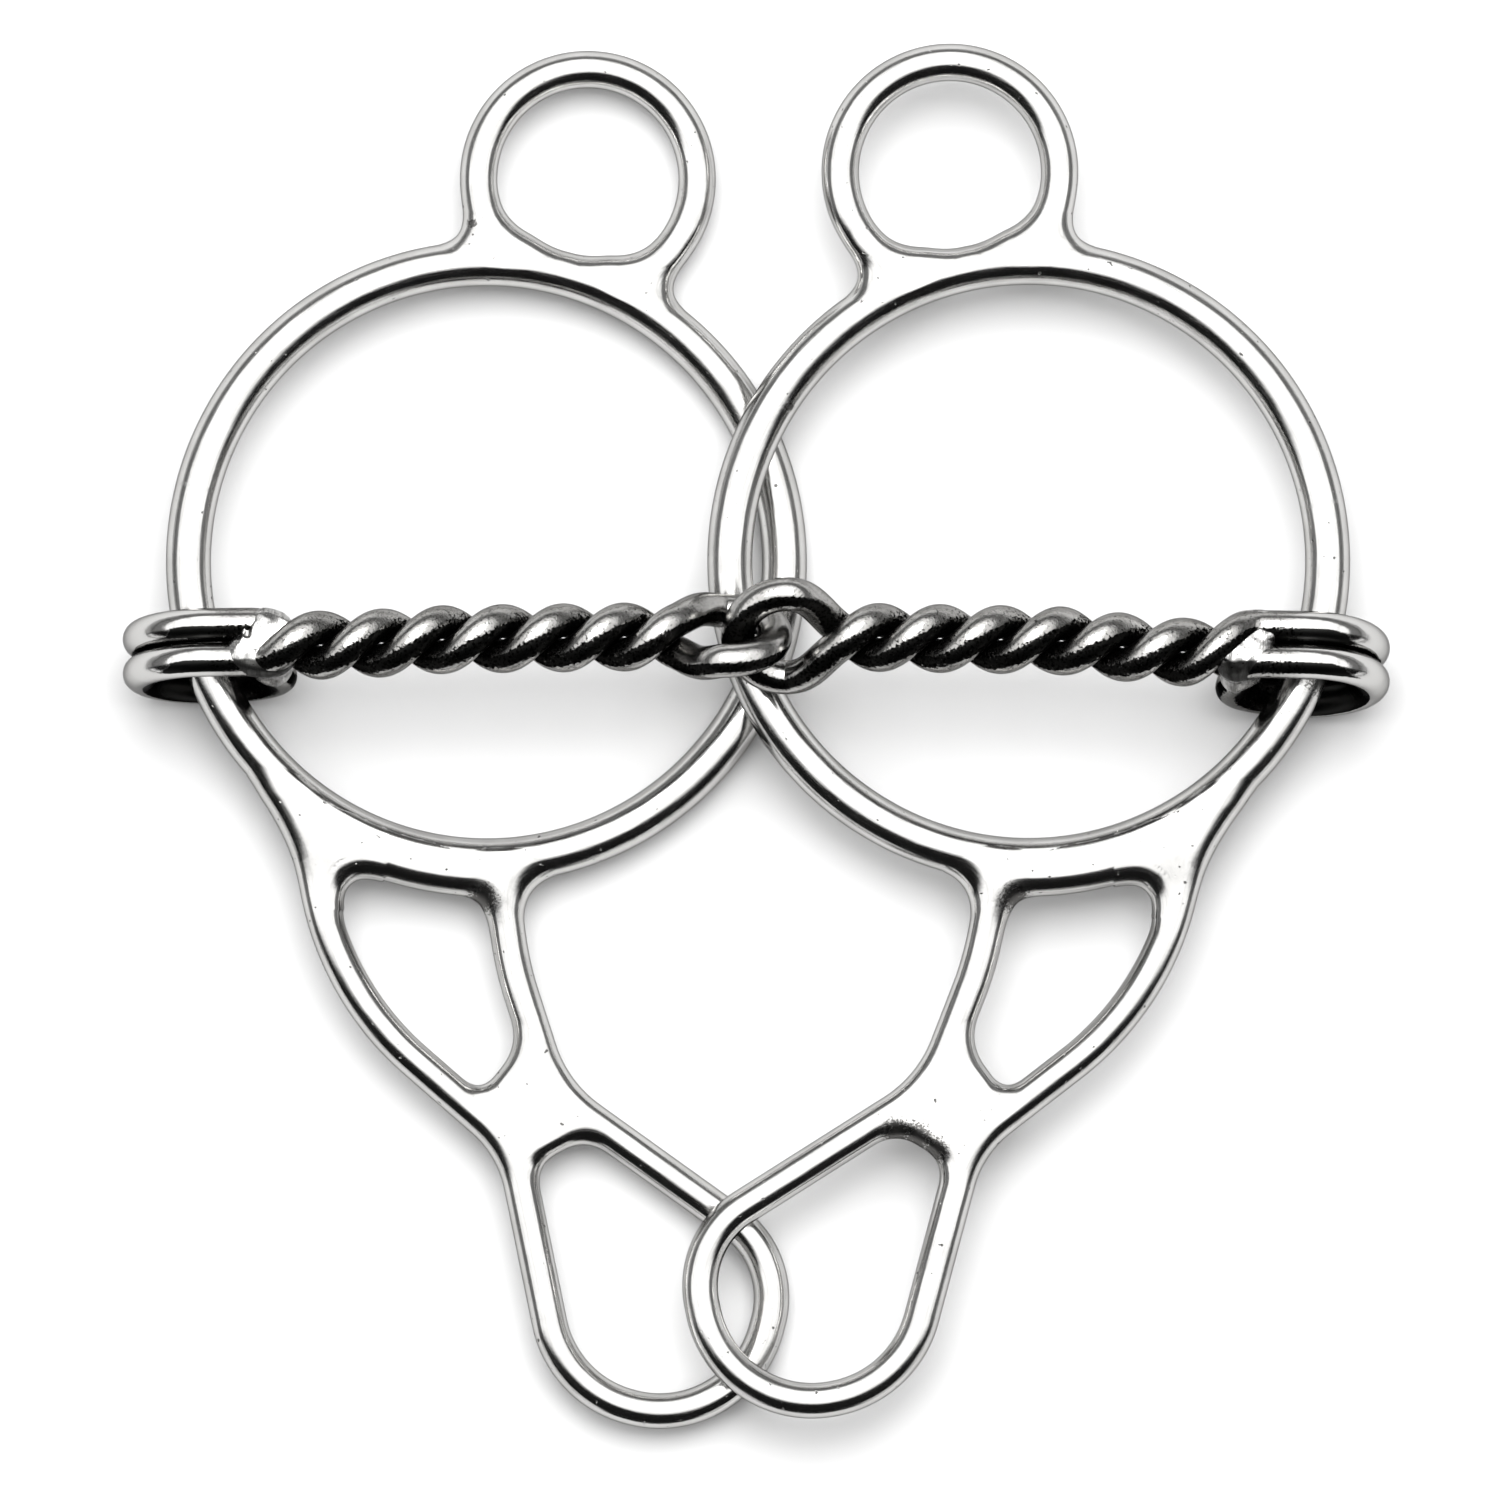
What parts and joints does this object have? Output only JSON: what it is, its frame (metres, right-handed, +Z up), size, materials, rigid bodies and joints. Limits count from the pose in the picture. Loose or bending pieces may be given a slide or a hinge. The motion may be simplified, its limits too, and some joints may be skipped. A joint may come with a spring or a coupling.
{
  "type": "snaffle bit",
  "caption": "Loose ring gag snaffle bit with a jointed twisted wire mouthpiece, bridle rings above and looped rein shanks below.",
  "frame": {"origin": "middle of the bit's footprint, on the surface it lies on", "axes": "+X along the mouthpiece to the bit's right cheek, +Y towards the bridle rings, +Z up from the surface"},
  "size_m": [0.1488, 0.163, 0.0256],
  "materials": {
    "mouth_wire": "worn twisted wire, dark in the grooves",
    "ring_steel": "polished stainless steel",
    "bridle_steel": "polished stainless steel",
    "shank_steel": "polished stainless steel with ground welds"
  },
  "bodies": {
    "left_cannon": {"left_cannon": "mouth_wire"},
    "right_cannon": {"right_cannon": "mouth_wire"},
    "left_cheek": {"left_mouth_ring": "ring_steel", "left_bridle_ring": "bridle_steel", "left_rein_shank": "shank_steel"},
    "right_cheek": {"right_mouth_ring": "ring_steel", "right_bridle_ring": "bridle_steel", "right_rein_shank": "shank_steel"}
  },
  "joints": [
    {"name": "link_lift", "type": "hinge", "parent": "left_cannon", "child": "right_cannon", "pos_m": [-0.00217, 0.01192, 0.01881], "axis": [-0.0176, -0.8479, -0.5299], "range_deg": [0, 10]},
    {"name": "left_ring_turn", "type": "hinge", "parent": "left_cannon", "child": "left_cheek", "pos_m": [-0.03175, 0.02058, 0.00549], "axis": [0.0766, 0, 0.9971], "range_deg": [-30, 80]},
    {"name": "right_ring_turn", "type": "hinge", "parent": "right_cannon", "child": "right_cheek", "pos_m": [0.03201, 0.02064, 0.00866], "axis": [0.0094, 0, 1], "range_deg": [0, 25]}
  ]
}
